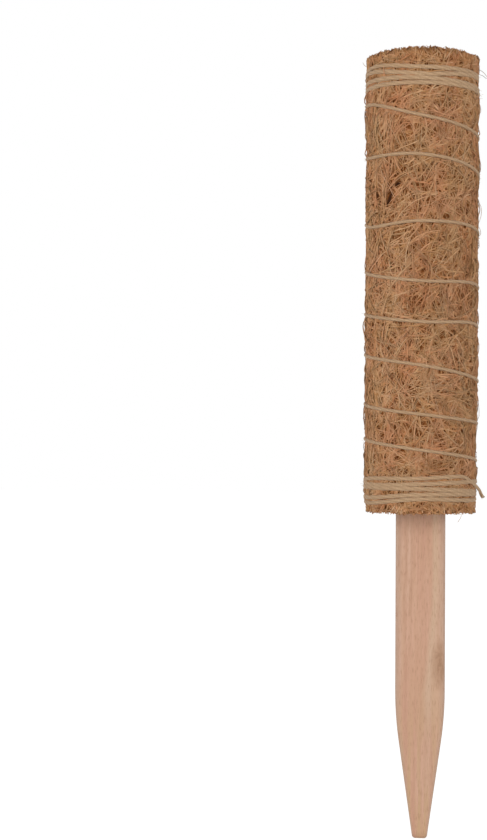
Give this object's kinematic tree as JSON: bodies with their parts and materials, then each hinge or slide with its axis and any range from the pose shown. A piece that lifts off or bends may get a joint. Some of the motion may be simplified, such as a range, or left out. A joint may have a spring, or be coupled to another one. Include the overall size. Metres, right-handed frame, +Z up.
{
  "type": "moss pole",
  "caption": "Stackable moss pole for climbing houseplants: a coir mat rolled on a plastic tube, bound with jute twine, on a flat pointed wooden stake.",
  "frame": {"origin": "on the pole's axis at the soil line, level with the underside of the coir mat", "axes": "+Z up along the pole, the stake's broad front face looking along -Y, +X to its right"},
  "size_m": [0.0495, 0.0479, 0.3005],
  "materials": {
    "stake_wood": "sawn and lightly sanded, unvarnished",
    "tube_plastic": "extruded, satin",
    "coir": "coarse tangled fibre",
    "jute": "twisted natural fibre",
    "nail_steel": "plain drawn wire"
  },
  "bodies": {
    "root": {"stake": "stake_wood", "core_tube": "tube_plastic", "coir_mat": "coir", "twine": "jute", "stake_nail_left": "nail_steel", "stake_nail_right": "nail_steel"}
  },
  "joints": []
}
